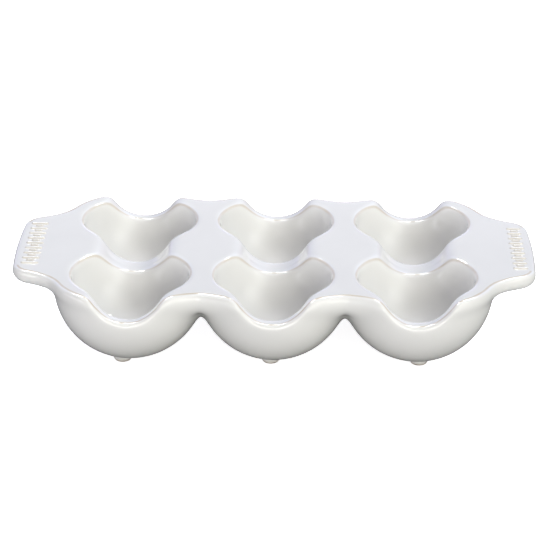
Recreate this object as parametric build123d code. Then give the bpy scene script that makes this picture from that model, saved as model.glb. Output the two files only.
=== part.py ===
from build123d import *
import math
import os

# Egg holder tray in glazed stoneware: a flat deck with six round egg cups hanging under it
# in two rows of three, a lug handle at each end, a small foot under every cup, and a
# U-shaped trough from front to back over each pair of cups.
# Millimetres, +Z up. Origin: centre of the tray on the table plane. X runs along the tray,
# left is -X, front is -Y.

# ---- cups and bowls ----
CUP_PITCH = 62.0           # centre distance of the cups along the tray
BOWL_ROW = 30.4            # bowl centres from the tray's long centre line
CUP_ROW = 31.1             # cup centres from it: the wall is a little thinner at the outside
DECK_TOP = 41.1            # height of the flat top face
BOWL_RADIUS = 33.3         # outside radius of a bowl
BOWL_Z = DECK_TOP - 5.0    # height of the bowl centres
CUP_RADIUS = 25.35         # inside radius of an egg cup
CUP_Z = DECK_TOP - 2.4     # height of the cup centres
CUP_LIP = 2.0              # rounding of a cup's opening
CREASE = 3.0               # rounding where neighbouring bowls run into each other

# ---- deck and handles ----
DECK_THICKNESS = 8.0
DECK_BOTTOM = DECK_TOP - DECK_THICKNESS
DECK_LOWER_EDGE = 3.0      # rounding of the deck's lower edge
DECK_UPPER_EDGE = 2.8      # rounding of the rim and of the deck's upper edge
NOTCH_Y = BOWL_ROW + math.sqrt(BOWL_RADIUS**2 - (CUP_PITCH / 2) ** 2)  # bowl circles cross
NOTCH_RADIUS = 24.0        # concave sweep of the long edges between two cups
NECK_X, NECK_Y = 94.0, 39.4  # about where an end bowl's circle meets its handle's side
NECK_RADIUS = 15.3         # concave sweep between an end bowl and its handle
HANDLE_REACH = 115.0       # half length over both handles
HANDLE_TIP_X = 113.9       # where the slightly bowed end edge meets the sides
HANDLE_TIP_Y = 30.4        # half width there, before the corner rounding
HANDLE_ROOT_X = 80.0
HANDLE_ROOT_Y = 45.7
HANDLE_OVERLAP = 20.0      # how far the handle shape runs on inwards from its root
HANDLE_CORNER = 9.4

# ---- troughs ----
TROUGH_RADIUS = 16.43      # bottom radius of a trough
TROUGH_AXIS_RISE = 5.67    # trough axis above the deck top
TROUGH_SHOULDER = 6.0      # rounding between trough and deck
CUTTER_LENGTH = 160.0      # along Y, past both sides of the tray
CUTTER_RISE = 10.0         # top of the cutter above the deck

# ---- feet ----
FOOT_BOTTOM_RADIUS = 3.3
FOOT_TOP_RADIUS = 4.6      # radius at the height below
FOOT_TAPER_HEIGHT = 3.5
FOOT_STOCK_HEIGHT = 5.0    # stub height before the bowl is cut away
FOOT_EDGE = 0.7
FOOT_SPREAD = 2.9          # the end feet stand this much further out than their cups
FOOT_SHIFT = -1.0          # all feet sit this much towards the left end
FOOT_ROW = 33.0            # feet from the tray's long centre line

# ---- raised ornament on the handles ----
RELIEF_HEIGHT = 0.7
RELIEF_EDGE = 0.3
RELIEF_PITCH = 5.6         # distance between long bars
RELIEF_BARS = 9            # long bars on each handle
BAR_WIDTH = 1.9
SHORT_BAR_LENGTH = 3.4
SHORT_BAR_WIDTH = 1.5
RELIEF_SPANS = {           # side: x at the inner and outer ends of the long bars
    "left": (-103.0, -110.6),
    "right": (104.4, 110.6),
}

COLUMNS = {-1: "left", 0: "middle", 1: "right"}
ROWS = {-1: "front", 1: "back"}


def save(piece, name):
    piece.label = name
    export_step(piece, f"parts/{name}.step")


def grid(row_y):
    """Six centres (x, y), in two rows at +-row_y."""
    return [(column * CUP_PITCH, row * row_y) for column in COLUMNS for row in ROWS]


def edges_at(shape, z):
    """The edges lying flat at height z."""
    return shape.edges().filter_by_position(Axis.Z, z - 0.01, z + 0.01)


def sphere_gaps(point, row_y, z, radius):
    """Distances of a point from the surfaces of the six spheres, smallest first."""
    position = (point.X, point.Y, point.Z)
    return sorted(abs(math.dist(position, (x, y, z)) - radius) for x, y in grid(row_y))


# ---- tray body ---------------------------------------------------------------------------
def corners(sketch, x, y, reach=2.0):
    """The sketch corners near (+-x, +-y)."""
    return [v for v in sketch.vertices() if abs(abs(v.X) - x) < reach and abs(abs(v.Y) - y) < reach]


def handle_outline(side):
    """One lug handle, from inside the end cups to its slightly bowed end edge."""
    inner_x = side * (HANDLE_ROOT_X - HANDLE_OVERLAP)
    root_x = side * HANDLE_ROOT_X
    front_tip = (side * HANDLE_TIP_X, -HANDLE_TIP_Y)
    back_tip = (side * HANDLE_TIP_X, HANDLE_TIP_Y)
    with BuildLine() as line:
        Polyline(
            (inner_x, HANDLE_ROOT_Y),
            (inner_x, -HANDLE_ROOT_Y),
            (root_x, -HANDLE_ROOT_Y),
            front_tip,
        )
        ThreePointArc(front_tip, (side * HANDLE_REACH, 0), back_tip)
        Polyline(back_tip, (root_x, HANDLE_ROOT_Y), (inner_x, HANDLE_ROOT_Y))
    return make_face(line.line)


def deck_outline():
    """The bowls' circles, filled between, with swept notches and necked handles."""
    outline = Rectangle(2 * CUP_PITCH, 2 * BOWL_ROW)
    for x, y in grid(BOWL_ROW):
        outline += Pos(x, y) * Circle(BOWL_RADIUS)
    outline += handle_outline(1) + handle_outline(-1)
    for x, y, radius in (
        (CUP_PITCH / 2, NOTCH_Y, NOTCH_RADIUS),
        (NECK_X, NECK_Y, NECK_RADIUS),
        (HANDLE_TIP_X, HANDLE_TIP_Y, HANDLE_CORNER),
    ):
        outline = fillet(corners(outline, x, y), radius)
    return outline


def lower_bowl(x, y):
    """A bowl's ball up to its widest circle, where the deck's upright edge takes over."""
    width, depth = 80, 50  # clipping box, larger than the half ball
    ball = Pos(x, y, BOWL_Z) * Sphere(BOWL_RADIUS)
    ball &= Pos(x, y, BOWL_Z - depth / 2) * Box(width, width, depth)
    return ball


def trough_cutter(x):
    """The space of one trough: a round bottom, rolled over at both shoulders into the deck."""
    # Bottom and shoulder arcs touch at (turn_x, turn_z); the shoulder ends at (reach, 0).
    centre_gap = TROUGH_RADIUS + TROUGH_SHOULDER
    centre_rise = TROUGH_AXIS_RISE + TROUGH_SHOULDER
    reach = math.sqrt(centre_gap**2 - centre_rise**2)
    share = TROUGH_RADIUS / centre_gap
    turn_x = reach * share
    turn_z = TROUGH_AXIS_RISE - centre_rise * share
    angle = (math.atan2(turn_z + TROUGH_SHOULDER, turn_x - reach) + math.pi / 2) / 2
    mid_x = reach + TROUGH_SHOULDER * math.cos(angle)
    mid_z = -TROUGH_SHOULDER + TROUGH_SHOULDER * math.sin(angle)
    with BuildLine(Plane.XZ) as line:
        ThreePointArc((-turn_x, turn_z), (0, TROUGH_AXIS_RISE - TROUGH_RADIUS), (turn_x, turn_z))
        ThreePointArc((turn_x, turn_z), (mid_x, mid_z), (reach, 0))
        Polyline((reach, 0), (reach, CUTTER_RISE), (-reach, CUTTER_RISE), (-reach, 0))
        ThreePointArc((-reach, 0), (-mid_x, mid_z), (-turn_x, turn_z))
    # Plane.XZ faces -Y, so the extrusion starts at the back.
    return Pos(x, CUTTER_LENGTH / 2, DECK_TOP) * extrude(make_face(line.line), CUTTER_LENGTH)


def is_rim(edge):
    """True on the deck's upper outline and the troughs' front and back mouths."""
    box = edge.bounding_box()
    if box.min.Z < 28 or box.max.Z - box.min.Z > 13:
        return False
    # Straight edges along a trough and upright ones are not part of the rim.
    direction = edge % 0.5
    if edge.geom_type == GeomType.LINE and (abs(direction.Y) > 0.999 or abs(direction.Z) > 0.999):
        return False
    on_deck = box.max.Z > DECK_TOP - 0.01
    on_mouth = box.min.Z > 29 and abs((edge @ 0.5).Y) > 50 and box.max.Z > BOWL_Z + 0.1
    return on_deck or on_mouth


def is_lip(edge):
    """True on the openings of the cups: the upper edges lying on a cup sphere."""
    return (edge @ 0.5).Z > DECK_TOP - 20 and all(
        sphere_gaps(edge @ at, CUP_ROW, CUP_Z, CUP_RADIUS)[0] < 1e-3 for at in (0.5, 0.0)
    )


def is_crease(edge):
    """True on the arcs under the deck that lie on two bowls at once."""
    if edge.geom_type != GeomType.CIRCLE or edge.bounding_box().max.Z > DECK_BOTTOM + 0.2:
        return False
    return sphere_gaps(edge @ 0.5, BOWL_ROW, BOWL_Z, BOWL_RADIUS)[1] < 0.05


def round_edges(body, chosen, radius):
    """Round the edges of the body for which chosen(edge) is true."""
    edges = [edge for edge in body.edges() if chosen(edge)]
    return body.fillet(radius, edges).solids()[0]


def tray_body():
    body = extrude(Pos(0, 0, DECK_BOTTOM) * deck_outline(), DECK_THICKNESS)
    body = fillet(edges_at(body, DECK_BOTTOM), DECK_LOWER_EDGE)
    for x, y in grid(BOWL_ROW):
        body += lower_bowl(x, y)
    for column in COLUMNS:
        body -= trough_cutter(column * CUP_PITCH)
    # The rim is rounded before the cups are cut, so that it is one unbroken run.
    body = round_edges(body.solids()[0], is_rim, DECK_UPPER_EDGE)
    for x, y in grid(CUP_ROW):
        body -= Pos(x, y, CUP_Z) * Sphere(CUP_RADIUS)
    body = round_edges(body.solids()[0], is_lip, CUP_LIP)
    return round_edges(body, is_crease, CREASE)


# ---- feet --------------------------------------------------------------------------------
def foot(column, row):
    """A short tapered stub with a flat bottom; its top follows the bowl above."""
    x = column * (CUP_PITCH + FOOT_SPREAD) + FOOT_SHIFT
    taper = (FOOT_TOP_RADIUS - FOOT_BOTTOM_RADIUS) * FOOT_STOCK_HEIGHT / FOOT_TAPER_HEIGHT
    stub = Pos(x, row * FOOT_ROW, FOOT_STOCK_HEIGHT / 2) * Cone(
        FOOT_BOTTOM_RADIUS, FOOT_BOTTOM_RADIUS + taper, FOOT_STOCK_HEIGHT
    )
    stub = fillet(edges_at(stub, 0), FOOT_EDGE)
    stub -= Pos(column * CUP_PITCH, row * BOWL_ROW, BOWL_Z) * Sphere(BOWL_RADIUS)
    return min(stub.solids(), key=lambda solid: solid.center().Z)


# ---- raised ornament on the handles ------------------------------------------------------
def raised(shape):
    """A flat-based raised figure with a rounded upper edge, standing on the deck top."""
    solid = extrude(Pos(0, 0, DECK_TOP) * shape, RELIEF_HEIGHT)
    return fillet(edges_at(solid, DECK_TOP + RELIEF_HEIGHT), RELIEF_EDGE)


def bar_border(inner, outer):
    """A border of long bars across the handle, with a short bar between each pair."""
    solids = []
    for i in range(2 * RELIEF_BARS - 1):
        y = (i - (RELIEF_BARS - 1)) * RELIEF_PITCH / 2
        if i % 2 == 0:
            figure = SlotOverall(abs(outer - inner), BAR_WIDTH)
        else:
            figure = SlotOverall(SHORT_BAR_LENGTH, SHORT_BAR_WIDTH)
        solids += raised(Pos((inner + outer) / 2, y) * figure).solids()
    return Compound(children=solids)


os.makedirs("parts", exist_ok=True)
save(tray_body(), "tray_body")
for column, column_name in COLUMNS.items():
    for row, row_name in ROWS.items():
        save(foot(column, row), f"foot_{row_name}_{column_name}")
for side, (inner, outer) in RELIEF_SPANS.items():
    save(bar_border(inner, outer), f"handle_relief_{side}")
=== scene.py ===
# A white-glazed stoneware tray with six round cups in two rows of three, on six small feet.
# It stands on z = 0, centred on the origin: x runs along the tray with a handle at each end,
# -y is the front, +z is up. Shapes are in millimetres, light and camera places in metres.
import math

import bpy
import numpy as np
from mathutils import Matrix, Vector


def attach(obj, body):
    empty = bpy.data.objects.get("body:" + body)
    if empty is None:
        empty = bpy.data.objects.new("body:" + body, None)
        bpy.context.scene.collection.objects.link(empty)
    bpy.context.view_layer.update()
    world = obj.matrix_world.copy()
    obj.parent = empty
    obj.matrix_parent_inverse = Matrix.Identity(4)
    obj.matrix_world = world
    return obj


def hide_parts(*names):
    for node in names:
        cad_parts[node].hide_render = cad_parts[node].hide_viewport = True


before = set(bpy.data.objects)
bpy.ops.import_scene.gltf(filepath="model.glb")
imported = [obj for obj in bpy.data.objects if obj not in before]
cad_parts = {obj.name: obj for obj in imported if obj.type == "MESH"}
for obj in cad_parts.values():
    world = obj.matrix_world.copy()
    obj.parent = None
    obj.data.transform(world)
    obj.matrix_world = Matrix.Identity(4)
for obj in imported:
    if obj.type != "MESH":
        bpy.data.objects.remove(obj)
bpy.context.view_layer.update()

MM = 0.001

# ---------------------------------------------------------------- sizes of the tray, in mm
PITCH = 62.0                        # cup to cup, along x
COLUMNS = (0.0, PITCH)              # cup columns on the +x side; the tray is mirrored in x
ROW = 30.4                          # bowl centre to the tray's middle plane, along y
DECK_TOP = 41.1
DECK_THICK = 6.67
DECK_UNDER = 3.96                   # rounding of the deck's underside edge
RIM_BLEND = 3.0

BOWL_R = 33.12                      # outer spheres under the deck
BOWL_Z = DECK_TOP - 5.10
END_BOWL_X = PITCH + 0.30
BOWL_BLEND = 3.8                    # between the front and back bowls, and between columns
DECK_BLEND = 3.36                   # between bowls and deck
WEB_BLEND, WEB_WIDE = 11.0, 10.0    # extra blend midway between columns, and its reach in x

CUP_R = 25.32                       # hollow spheres
CUP_DROP, CUP_OUT = 2.4, 0.54       # centre below the deck top, and outward from ROW
LIP_BLEND = 3.0

TROUGH_R = 15.93                    # shallow troughs along y, one over each column
TROUGH_Z = DECK_TOP + 5.16
TROUGH_BLEND = 4.6

OUTLINE_R = 33.49                   # deck outline: arcs round the bowls
OUTLINE_END_X = PITCH + 1.01
NOTCH_R = 20.0                      # hollow arcs between columns
NECK_R = 23.43                      # hollow arcs where the handles start
REACH = 115.0                       # middle plane to a handle's end
FLANK_Y, TAPER = 29.69, 0.438       # handle side: its y at REACH, and its slope
CORNER_R = 9.92
END_BOW = 1.21                      # how far the handle's end curves back at y = BOW_Y
BOW_Y, BOW_FROM_X, BOW_RUN = 29.0, 100, 14


# ---------------------------------------------------------------- shape of the tray
# Each shape is a signed distance, negative inside the solid.
def smin(a, b, k):
    """Smooth minimum with a continuous second derivative; it takes k/4 off where a equals b."""
    k = 1.5 * k
    h = np.maximum(k - np.abs(a - b), 0.0) / k
    return np.minimum(a, b) - h * h * h * (k / 6.0)


def smax(a, b, k):
    return -smin(-a, -b, k)


def ball(dx, dy, dz, radius):
    return np.sqrt(dx ** 2 + dy ** 2 + dz ** 2) - radius


def outline(x, y):
    """Distance to the deck's outline seen from above: bowl arcs, notches, necks and handle ends."""
    ax, ay = np.abs(x), np.abs(y)
    ax = ax + END_BOW * (ay / BOW_Y) ** 2 * np.clip((ax - BOW_FROM_X) / BOW_RUN, 0, 1)
    half = OUTLINE_END_X / 2
    middle, end = np.array([0.0, ROW]), np.array([OUTLINE_END_X, ROW])
    notch = np.array([half, ROW + math.sqrt((OUTLINE_R + NOTCH_R) ** 2 - half * half)])
    # The handle's straight flank: its outward normal, its direction and its distance from 0.
    slant = math.hypot(TAPER, 1)
    normal, along = np.array([TAPER, 1.0]) / slant, np.array([1.0, -TAPER]) / slant
    flank = normal @ np.array([REACH, FLANK_Y])
    # The neck arc touches the end bowl's arc and the flank.
    rise = flank + NECK_R - normal @ end
    run = math.sqrt((OUTLINE_R + NECK_R) ** 2 - rise * rise)
    neck = end + rise * normal + run * along
    corner_x = REACH - CORNER_R
    corner = np.array([corner_x, (flank - CORNER_R - normal[0] * corner_x) / normal[1]])
    near, signed = np.full(ax.shape, 1e9), np.full(ax.shape, -20.0)

    def put(distance, valid):
        closer = valid & (np.abs(distance) < near)
        near[closer], signed[closer] = np.abs(distance[closer]), distance[closer]

    def arc(centre, radius, first, last, hollow):
        """An arc running counter-clockwise from direction first to direction last."""
        qx, qy = ax - centre[0], ay - centre[1]
        valid = (first[0] * qy - first[1] * qx >= 0) & (qx * last[1] - qy * last[0] >= 0)
        distance = np.hypot(qx, qy) - radius
        put(-distance if hollow else distance, valid)

    arc(middle, OUTLINE_R, notch - middle, np.array([-1e-9, 1.0]), False)
    arc(notch, NOTCH_R, middle - notch, end - notch, True)
    arc(end, OUTLINE_R, neck - end, notch - end, False)
    arc(neck, NECK_R, end - neck, -normal, True)
    t = along[0] * ax + along[1] * ay
    put(normal[0] * ax + normal[1] * ay - flank, (t >= along @ neck) & (t <= along @ corner))
    arc(corner, CORNER_R, np.array([1.0, 0.0]), normal, False)
    put(ax - REACH, ay <= corner[1])
    return signed


def bowls(x, y, z):
    ax, ay = np.abs(x), np.abs(y)
    pairs = []
    for cx in (0.0, END_BOWL_X):
        near = ball(ax - cx, ay - ROW, z - BOWL_Z, BOWL_R)
        far = ball(ax - cx, ay + ROW, z - BOWL_Z, BOWL_R)
        pairs.append(smin(near, far, BOWL_BLEND))
    return smin(pairs[0], pairs[1], BOWL_BLEND)


def shell(x, y, z):
    """Deck slab and bowls, with no upper surface."""
    side = outline(x, y) + DECK_UNDER
    below = (DECK_TOP - DECK_THICK) - z + DECK_UNDER
    slab = np.hypot(np.maximum(side, 0), np.maximum(below, 0))
    slab = slab + np.minimum(np.maximum(side, below), 0) - DECK_UNDER
    web = np.exp(-((np.abs(x) - PITCH / 2) / WEB_WIDE) ** 2)
    return smin(slab, bowls(x, y, z), DECK_BLEND + WEB_BLEND * web)


def upper(x, z):
    """Everything below the deck top, less the troughs."""
    troughs = [np.hypot(np.abs(x) - cx, z - TROUGH_Z) - TROUGH_R for cx in COLUMNS]
    return smax(z - DECK_TOP, -np.minimum(*troughs), TROUGH_BLEND)


def cups(x, y, z):
    ax, dy, dz = np.abs(x), np.abs(y) - ROW - CUP_OUT, z - DECK_TOP + CUP_DROP
    return np.minimum(*[ball(ax - cx, dy, dz, CUP_R) for cx in COLUMNS])


def body(p):
    x, y, z = p[..., 0], p[..., 1], p[..., 2]
    solid = smax(shell(x, y, z), upper(x, z), RIM_BLEND)
    return smax(solid, -cups(x, y, z), LIP_BLEND)


# ---------------------------------------------------------------- meshing
CORNERS = [(i, j, k) for i in (0, 1) for j in (0, 1) for k in (0, 1)]
EDGES = [(a, b) for a in CORNERS for b in CORNERS
         if a < b and sum(abs(p - q) for p, q in zip(a, b)) == 1]
CHUNK = 40          # grid layers sampled at once, to save memory
PULL = 0.6          # share of the way to its neighbours' mean that a vertex moves


def gradient(f, p, e=0.05):
    g = np.empty_like(p)
    for axis in range(3):
        d = np.zeros(3)
        d[axis] = e
        g[:, axis] = (f(p + d) - f(p - d)) / (2 * e)
    return g


def unit(g):
    return g / np.maximum(np.linalg.norm(g, axis=1), 1e-9)[:, None]


def settle(f, p, times):
    """Newton steps onto f = 0."""
    for _ in range(times):
        g = gradient(f, p)
        p = p - (f(p) / np.maximum((g * g).sum(1), 1e-6))[:, None] * g
    return p


def sample(f, axes):
    values = np.empty([len(a) for a in axes])
    yy, zz = np.meshgrid(axes[1], axes[2], indexing="ij")
    for i in range(0, len(axes[0]), CHUNK):
        xs = axes[0][i:i + CHUNK]
        p = np.empty((len(xs),) + yy.shape + (3,))
        p[..., 0], p[..., 1], p[..., 2] = xs[:, None, None], yy, zz
        values[i:i + CHUNK] = f(p)
    return values


def surface_net(values):
    """One vertex in each grid cell the surface crosses, in cell units, and quads joining them."""
    solid = values < 0
    n = np.array(values.shape) - 1
    count = np.zeros(n, np.int8)
    for c in CORNERS:
        count += solid[c[0]:n[0] + c[0], c[1]:n[1] + c[1], c[2]:n[2] + c[2]]
    live = (count > 0) & (count < 8)
    cell = np.argwhere(live)
    number = np.full(n, -1, np.int64)
    number[live] = np.arange(len(cell))
    total, hits = np.zeros((len(cell), 3)), np.zeros(len(cell))
    for a, b in EDGES:
        va, vb = values[tuple((cell + a).T)], values[tuple((cell + b).T)]
        cross = (va < 0) != (vb < 0)
        t = np.where(cross, va / np.where(cross, va - vb, 1.0), 0.0)
        point = np.array(a) + t[:, None] * (np.array(b) - np.array(a))
        total += np.where(cross[:, None], point, 0.0)
        hits += cross
    quads = []
    for axis in range(3):
        u, w = (axis + 1) % 3, (axis + 2) % 3
        first, second = [slice(None)] * 3, [slice(None)] * 3
        first[axis], second[axis] = slice(0, -1), slice(1, None)
        edge = np.argwhere(solid[tuple(first)] != solid[tuple(second)])
        edge = edge[(edge[:, u] > 0) & (edge[:, w] > 0) & (edge[:, u] < n[u]) & (edge[:, w] < n[w])]
        du, dw = np.zeros(3, int), np.zeros(3, int)
        du[u], dw[w] = 1, 1
        around = (edge, edge - du, edge - du - dw, edge - dw)
        quad = np.stack([number[tuple(c.T)] for c in around], 1)
        flip = ~solid[tuple(edge.T)]
        quad[flip] = quad[flip][:, ::-1]
        quads.append(quad)
    quads = np.concatenate(quads)
    return cell + total / hits[:, None], quads[(quads >= 0).all(1)]


def skin(f, lo, hi, step, smooth=6):
    """Vertices, quads and normals of f = 0 inside a box, pulled even and put back on f = 0."""
    axes = [np.arange(a, b + step, step) for a, b in zip(lo, hi)]
    points, quads = surface_net(sample(f, axes))
    p = settle(f, np.array(lo) + step * points, 3)
    here, there = quads.T.ravel(), np.roll(quads, -1, axis=1).T.ravel()
    a, b = np.concatenate([here, there]), np.concatenate([there, here])
    degree = np.maximum(np.bincount(a, minlength=len(p)), 1)
    for _ in range(smooth):
        mean = np.stack([np.bincount(a, p[b, k], len(p)) for k in range(3)], 1) / degree[:, None]
        g = unit(gradient(f, p))
        d = mean - p
        p = settle(f, p + PULL * (d - (d * g).sum(1)[:, None] * g), 1)
    p = settle(f, p, 2)
    return p, quads, unit(gradient(f, p, 0.02))


def piece(name, points, faces, normals=None, **fields):
    """A closed mesh in metres, with custom normals if given and one number per vertex per field."""
    mesh = bpy.data.meshes.new(name)
    mesh.vertices.add(len(points))
    mesh.vertices.foreach_set("co", (points * MM).astype(np.float32).ravel())
    mesh.loops.add(faces.size)
    mesh.loops.foreach_set("vertex_index", faces.ravel().astype(np.int32))
    mesh.polygons.add(len(faces))
    sides = faces.shape[1]
    mesh.polygons.foreach_set("loop_start", np.arange(0, faces.size, sides, dtype=np.int32))
    mesh.polygons.foreach_set("loop_total", np.full(len(faces), sides, np.int32))
    mesh.update(calc_edges=True)
    mesh.validate()
    for key, values in fields.items():
        attribute = mesh.attributes.new(key, "FLOAT", "POINT")
        attribute.data.foreach_set("value", np.asarray(values, np.float32))
    mesh.polygons.foreach_set("use_smooth", np.ones(len(mesh.polygons), bool))
    if normals is not None:
        mesh.normals_split_custom_set_from_vertices([tuple(v) for v in normals])
    return link(name, mesh)


def link(name, data):
    obj = bpy.data.objects.new(name, data)
    bpy.context.scene.collection.objects.link(obj)
    return obj


def install(obj, material, part):
    obj.data.materials.append(material)
    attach(obj, "root")
    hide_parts(part)


# ---------------------------------------------------------------- materials
class Nodes:
    """Shorthand for the node tree of a material or world."""

    def __init__(self, owner):
        owner.use_nodes = True
        self.owner, self.tree = owner, owner.node_tree

    def put(self, socket, value):
        if isinstance(value, bpy.types.NodeSocket):
            self.tree.links.new(value, socket)
        else:
            socket.default_value = value

    def fill(self, node, **inputs):
        for key, value in inputs.items():
            self.put(node.inputs[key.replace("_", " ")], value)

    def surface(self, **inputs):
        self.fill(self.tree.nodes["Principled BSDF"], **inputs)

    def surface_source(self, key):
        return self.tree.nodes["Principled BSDF"].inputs[key].links[0].from_socket

    def node(self, kind, **inputs):
        made = self.tree.nodes.new(kind)
        self.fill(made, **inputs)
        return made

    def operate(self, kind, op, *values):
        made = self.tree.nodes.new(kind)
        made.operation = op
        for socket, value in zip(made.inputs, values):
            self.put(socket, value)
        return made

    def math(self, op, *values, clamp=False):
        made = self.operate("ShaderNodeMath", op, *values)
        made.use_clamp = clamp
        return made.outputs[0]

    def vector(self, op, *values):
        return self.operate("ShaderNodeVectorMath", op, *values)

    def field(self, name):
        made = self.tree.nodes.new("ShaderNodeAttribute")
        made.attribute_name = name
        return made.outputs["Fac"]

    def noise(self, scale, detail=2.0, rough=0.5):
        place = self.node("ShaderNodeTexCoord").outputs["Object"]
        return self.node("ShaderNodeTexNoise", Vector=place, Scale=scale, Detail=detail,
                         Roughness=rough).outputs["Fac"]

    def remap(self, value, over, to=(0.0, 1.0), smooth=False):
        made = self.node("ShaderNodeMapRange", Value=value, From_Min=over[0], From_Max=over[1],
                         To_Min=to[0], To_Max=to[1])
        if smooth:
            made.interpolation_type = "SMOOTHSTEP"
        return made.outputs["Result"]

    def line(self, name, over, strength):
        """A soft line where a field, in mm, is near zero."""
        distance = self.math("ABSOLUTE", self.field(name))
        return self.remap(distance, over=over, to=(strength, 0.0), smooth=True)

    def mix(self, fac, a, b):
        made = self.tree.nodes.new("ShaderNodeMix")
        made.data_type = "RGBA"
        self.put(made.inputs[0], fac)
        for socket, v in ((made.inputs[6], a), (made.inputs[7], b)):
            self.put(socket, v if isinstance(v, bpy.types.NodeSocket) else tuple(v) + (1.0,))
        return made.outputs[2]


WHITE = (0.700, 0.693, 0.672)
SPECK = (0.60, 0.55, 0.48)
TAN = (0.50, 0.40, 0.27)                                # clay showing through thin glaze
CLAY_DARK, CLAY_LIGHT = (0.30, 0.25, 0.20), (0.42, 0.36, 0.29)


def glaze(name, edges):
    """White glaze. edges(n) gives how thin it is, 0 to 1, where the clay warms the colour."""
    n = Nodes(bpy.data.materials.new(name))
    cloud = n.noise(scale=22.0, detail=3.0, rough=0.55)
    fine = n.noise(scale=420.0, rough=0.6)
    dim, bright = (tuple(c * gain for c in WHITE) for gain in (0.985, 1.015))
    base = n.mix(n.remap(cloud, over=(0.35, 0.65)), dim, bright)
    base = n.mix(n.remap(fine, over=(0.62, 0.8), to=(0.0, 0.05)), base, SPECK)
    edge = edges(n)
    patchy = n.remap(n.noise(scale=150.0, detail=3.0, rough=0.6), over=(0.3, 0.7), to=(0.55, 1.0))
    base = n.mix(n.math("MULTIPLY", edge, patchy, clamp=True), base, TAN)
    gloss = n.remap(n.noise(scale=60.0, detail=3.0), over=(0.3, 0.7), to=(0.04, 0.065))
    n.surface(Base_Color=base, Roughness=gloss, IOR=1.5)
    waves = n.math("MULTIPLY", n.noise(scale=34.0, rough=0.45), 1.0)
    ripple = n.math("MULTIPLY", n.noise(scale=160.0), 0.08)
    height = n.math("ADD", waves, ripple)
    bump = n.node("ShaderNodeBump", Strength=1.0, Distance=0.00012, Height=height)
    n.surface(Normal=bump.outputs["Normal"])
    return n


def body_edges(n):
    rim = n.line("rim_line", over=(0.15, 0.75), strength=0.85)
    lip = n.line("lip_line", over=(0.1, 0.7), strength=0.55)
    return n.math("MAXIMUM", n.math("MULTIPLY", rim, n.field("rim_on")), lip)


def relief_edges(n):
    return n.math("MULTIPLY", n.line("figure", over=(0.1, 0.55), strength=1.0), 0.4)


def foot_edges(n):
    return n.remap(n.field("height"), over=(1.2, 2.4), to=(0.35, 0.05), smooth=True)


def clay_foot(name):
    """Glaze that stops raggedly about 1 mm above the floor, with bare clay below."""
    n = glaze(name, foot_edges)
    height = n.field("height")
    ragged = n.remap(n.noise(scale=300.0, detail=3.0), over=(0.3, 0.7), to=(-0.25, 0.25))
    level = n.math("ADD", height, ragged)
    bare = n.remap(level, over=(0.7, 1.1), to=(1.0, 0.0), smooth=True)
    grain = n.remap(n.noise(scale=900.0, detail=4.0, rough=0.7), over=(0.35, 0.65))
    clay = n.mix(grain, CLAY_DARK, CLAY_LIGHT)
    n.surface(Base_Color=n.mix(bare, n.surface_source("Base Color"), clay))
    matt = n.math("MULTIPLY", bare, 0.8)
    n.surface(Roughness=n.math("MAXIMUM", n.surface_source("Roughness"), matt))
    return n


# ---------------------------------------------------------------- tray body
BODY_LO, BODY_HI = (-116.5, -65.5, 0.0), (116.5, 65.5, 43.0)
RIM_DEPTH = 2.3                     # the thin line along the rim lies this far inside the shell
LIP_OFF, LIP_OFF_TROUGH = 0.95, 0.8  # lip line's distance from the cup; more in the troughs
LIP_TROUGH_X = 14.0


def tray_body():
    points, quads, normals = skin(body, BODY_LO, BODY_HI, 0.95)
    x, y, z = points.T
    inside = (np.abs(y) < 15) & (np.abs(x) < 96)      # no outer rim between a pair of cups
    blunt = (np.abs(y) < 25) & (np.abs(x) > 110)      # nor a thin line at a handle's blunt end
    off_axis = np.minimum(np.abs(x), np.abs(np.abs(x) - PITCH))
    in_trough = np.exp(-((off_axis / LIP_TROUGH_X) ** 4))
    tray = piece(
        "tray_body_glazed", points, quads, normals,
        rim_line=shell(x, y, z) + RIM_DEPTH,
        rim_on=1.0 - (inside | blunt),
        lip_line=cups(x, y, z) - LIP_OFF - LIP_OFF_TROUGH * in_trough,
    )
    install(tray, glaze("glaze_white", body_edges).owner, "tray_body")


tray_body()

# ---------------------------------------------------------------- feet
FOOT_X, FOOT_SHIFT, FOOT_Y = PITCH + 2.9, -1.0, 33.0    # spacing, shift of all six, row
FOOT_R, FOOT_FLARE = 3.45, 0.36     # radius at the floor, and its growth per mm of height
FLARE_SCALE = 0.94                  # makes the cone's value close to a true distance
SOLE_BLEND, FOOT_BLEND = 1.1, 1.3
FOOT_LIFT = 0.03                    # keeps the flare just under the bowl's surface
FOOT_MAX_R, FOOT_SINK = 6.8, 1.6    # trimmed beyond this radius and this deep in the bowl
FOOT_BOX, FOOT_BOX_LOW = 7.6, -0.6


def foot_shape(cx, cy, bowl_x, bowl_y):
    """A tapered stub at (cx, cy) that flares into the bowl centred over (bowl_x, bowl_y)."""
    def f(p):
        x, y, z = p[..., 0], p[..., 1], p[..., 2]
        r = np.hypot(x - cx, y - cy)
        cone = smax((r - FOOT_R - FOOT_FLARE * z) * FLARE_SCALE, -z, SOLE_BLEND)
        bowl = ball(x - bowl_x, y - bowl_y, z - BOWL_Z, BOWL_R)
        both = smin(cone, bowl + FOOT_LIFT, FOOT_BLEND)
        return np.maximum(np.maximum(both, r - FOOT_MAX_R), -bowl - FOOT_SINK)
    return f


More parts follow.
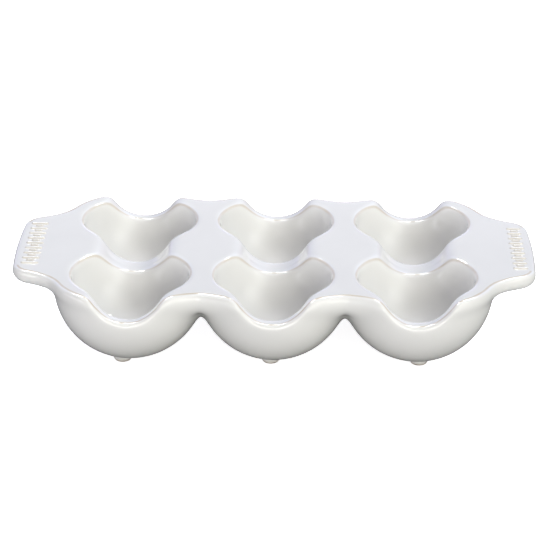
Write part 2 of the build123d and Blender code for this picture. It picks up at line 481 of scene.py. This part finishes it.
clay = clay_foot("glaze_and_bare_clay").owner
for column, name_x in ((-1, "left"), (0, "middle"), (1, "right")):
    for row, name_y in ((-1, "front"), (1, "back")):
        cx, cy = column * FOOT_X + FOOT_SHIFT, row * FOOT_Y
        points, quads, normals = skin(
            foot_shape(cx, cy, column * END_BOWL_X, row * ROW),
            (cx - FOOT_BOX, cy - FOOT_BOX, FOOT_BOX_LOW),
            (cx + FOOT_BOX, cy + FOOT_BOX, FOOT_BOX), 0.3, smooth=4)
        part = "foot_%s_%s" % (name_y, name_x)
        foot = piece(part + "_flared", points, quads, normals, height=points[:, 2])
        install(foot, clay, part)

# ---------------------------------------------------------------- handle reliefs
BARS, BAR_PITCH = 17, 2.8
LONG_R, SHORT_R, SHORT_HALF = 0.95, 0.75, 1.7   # half widths, and a short bar's half length
SHEET_MARGIN, SHEET_Y = 0.9, 24.2               # beyond the bars in x; half size in y
SHEET_UNDER, SHEET_BASE = 0.08, 0.6             # top and bottom of the sheet below the deck top
BAR_RISE = 0.78                                 # above the sheet
FLANK_OUT, FLANK_RUN = 0.42, 0.95               # where a bar's soft flank starts, and its width


def relief(name, inner, outer, material):
    """Long and short raised bars on a thin sheet that stays just under the deck's surface."""
    step = 0.2
    mid, half = (inner + outer) / 2, abs(outer - inner) / 2
    xs = np.arange(mid - half - SHEET_MARGIN, mid + half + SHEET_MARGIN + step / 2, step)
    ys = np.arange(-SHEET_Y, SHEET_Y + step / 2, step)
    x, y = np.meshgrid(xs, ys, indexing="ij")
    d = np.full(x.shape, 9.0)
    for i in range(BARS):
        bar_y = (i - BARS // 2) * BAR_PITCH
        reach, radius = (half, LONG_R) if i % 2 == 0 else (SHORT_HALF, SHORT_R)
        past = np.maximum(np.abs(x - mid) - reach + radius, 0)
        d = np.minimum(d, np.hypot(past, y - bar_y) - radius)
    t = np.clip((FLANK_OUT - d) / FLANK_RUN, 0, 1)
    rise = t * t * (3 - 2 * t) * BAR_RISE - SHEET_UNDER
    top = np.stack([x, y, DECK_TOP + rise], -1).reshape(-1, 3)
    low = top.copy()
    low[:, 2] = DECK_TOP - SHEET_BASE
    under = x.size
    grid = np.arange(under).reshape(x.shape)
    quads = np.stack([grid[:-1, :-1], grid[1:, :-1], grid[1:, 1:], grid[:-1, 1:]], -1).reshape(-1, 4)
    ring = np.concatenate([grid[:, 0], grid[-1, 1:], grid[-2::-1, -1], grid[0, -2:0:-1]])
    after = np.roll(ring, -1)
    wall = np.stack([after, ring, ring + under, after + under], 1)
    faces = np.vstack([quads, quads[:, ::-1] + under, wall])
    figure = np.concatenate([d.ravel(), d.ravel() + 9])
    obj = piece(name + "_glazed", np.vstack([top, low]), faces, figure=figure)
    install(obj, material, name)


raised = glaze("glaze_on_relief", relief_edges).owner
relief("handle_relief_left", -103.0, -110.6, raised)
relief("handle_relief_right", 104.4, 110.6, raised)


# ---------------------------------------------------------------- floor
def floor():
    """White to the camera, darker in bounced light and darker still in reflections."""
    mesh = bpy.data.meshes.new("studio_floor")
    mesh.from_pydata([(-4, -4, 0), (4, -4, 0), (4, 4, 0), (-4, 4, 0)], [], [(0, 1, 2, 3)])
    obj = link("studio_floor", mesh)
    n = Nodes(bpy.data.materials.new("floor_white"))
    ray = n.node("ShaderNodeLightPath").outputs
    bounce = n.mix(ray["Is Glossy Ray"], (0.45, 0.45, 0.445), (0.10, 0.10, 0.10))
    paper = n.mix(n.noise(scale=3.0), (0.90, 0.90, 0.90), (0.93, 0.93, 0.93))
    n.surface(
        Base_Color=n.mix(ray["Is Camera Ray"], bounce, paper),
        Roughness=0.9,
        Specular_IOR_Level=0.0,
        Emission_Color=(1.0, 1.0, 1.0, 1.0),
        Emission_Strength=n.math("MULTIPLY", ray["Is Camera Ray"], 0.85),
    )
    mesh.materials.append(n.owner)


floor()

# ---------------------------------------------------------------- light
BOX_X, BOX_Y, BOX_Z = 0.27, 0.62, 0.80      # softboxes behind and above the tray
BOX_SIZE = (0.42, 0.16)
BOX_AIM = Vector((0, 0, 0.035))


def softbox(name, x, radiance):
    light = bpy.data.lights.new(name, "AREA")
    light.shape, light.size, light.size_y = "RECTANGLE", *BOX_SIZE
    light.energy = math.pi * BOX_SIZE[0] * BOX_SIZE[1] * radiance
    obj = link(name, light)
    place = Vector((x, BOX_Y, BOX_Z))
    obj.location = place
    obj.rotation_mode = "QUATERNION"
    obj.rotation_quaternion = (BOX_AIM - place).to_track_quat("-Z", "Y")
    obj.visible_camera = False


softbox("top_left_box", -BOX_X, radiance=20.0)
softbox("top_right_box", BOX_X, radiance=17.0)

# Soft room light: azimuth, elevation and half width in degrees, then red, green, blue.
# Azimuth 0 is behind the tray, 90 its right end, 180 the viewer.
GLOWS = (
    (0, 4, 9, 1.31, 1.33, 1.89), (30, 4, 9, 0.55, 0.41, 0.68),
    (120, 4, 9, 2.29, 2.16, 1.96), (150, 4, 9, 2.91, 2.94, 2.85),
    (180, 4, 9, 7.53, 7.56, 7.45), (210, 4, 9, 2.44, 2.55, 2.87),
    (240, 4, 9, 9.17, 9.21, 9.34), (270, 4, 9, 4.36, 4.31, 4.45),
    (330, 4, 9, 0.79, 0.75, 1.18), (0, 16, 9, 0.11, 0.08, 0.20),
    (150, 16, 9, 2.75, 2.81, 2.68), (180, 16, 9, 5.81, 5.73, 5.62),
    (270, 16, 9, 0.38, 0.31, 0.71), (30, 27, 11, 0.59, 0.79, 1.34),
    (120, 27, 11, 0.38, 0.38, 0.37), (150, 27, 11, 2.24, 2.31, 2.13),
    (180, 27, 11, 0.27, 0.13, 0.23), (330, 27, 11, 0.12, 0.31, 0.75),
    (30, 39, 13, 0.00, 0.16, 0.82), (90, 39, 13, 0.88, 0.90, 1.01),
    (120, 39, 13, 3.32, 3.34, 3.18), (330, 39, 13, 0.00, 0.11, 0.67),
    (0, 53, 14, 0.06, 0.18, 0.03), (90, 53, 14, 0.94, 0.98, 0.88),
    (135, 53, 14, 0.48, 0.55, 0.57), (0, 68, 16, 0.39, 0.33, 0.62),
    (60, 68, 16, 0.68, 0.70, 0.62), (120, 68, 16, 0.79, 0.73, 0.63),
)


def toward(azimuth, elevation):
    az, el = math.radians(90 - azimuth), math.radians(elevation)
    return Vector((math.cos(az) * math.cos(el), math.sin(az) * math.cos(el), math.sin(el)))


def room_light():
    world = bpy.data.worlds.new("studio")
    bpy.context.scene.world = world
    n = Nodes(world)
    direction = n.node("ShaderNodeTexCoord").outputs["Generated"]
    total = None
    for azimuth, elevation, width, *rgb in GLOWS:
        dot = n.vector("DOT_PRODUCT", direction, toward(azimuth, elevation))
        sharp = math.log(2) / (1 - math.cos(math.radians(width)))
        fall = n.math("MULTIPLY_ADD", dot.outputs["Value"], sharp, -sharp)
        glow = n.math("EXPONENT", fall)
        tint = n.vector("SCALE", rgb)
        n.fill(tint, Scale=glow)
        light = tint.outputs[0]
        total = light if total is None else n.vector("ADD", total, light).outputs[0]
    n.fill(n.tree.nodes["Background"], Color=total, Strength=1.0)


room_light()

# ---------------------------------------------------------------- camera
TURN, TILT, ROLL = (math.radians(d) for d in (0.89, 23.594, 0.332))  # left, down, anticlockwise
ORIGIN_SEEN = (-0.3045, -24.573, 1078.49)   # tray's origin right of, above and ahead of it, mm


def camera():
    cam = bpy.data.cameras.new("camera")
    obj = link("camera", cam)
    ahead = np.array([-math.sin(TURN) * math.cos(TILT), math.cos(TURN) * math.cos(TILT),
                      -math.sin(TILT)])
    level = np.array([math.cos(TURN), math.sin(TURN), 0.0])
    upright = np.cross(level, ahead)
    right = level * math.cos(ROLL) + upright * math.sin(ROLL)
    up = -level * math.sin(ROLL) + upright * math.cos(ROLL)
    place = -np.array([right, up, ahead]).T @ np.array(ORIGIN_SEEN) * MM
    m = np.eye(4)
    m[:3, 0], m[:3, 1], m[:3, 2], m[:3, 3] = right, up, -ahead, place
    obj.matrix_world = Matrix(m.tolist())
    cam.sensor_fit, cam.sensor_width = "HORIZONTAL", 36.0
    cam.lens = 156.311345
    cam.clip_start, cam.clip_end = 0.05, 20.0
    bpy.context.scene.camera = obj


camera()
bpy.context.scene.view_settings.view_transform = "Standard"
bpy.context.scene.view_settings.look = "None"
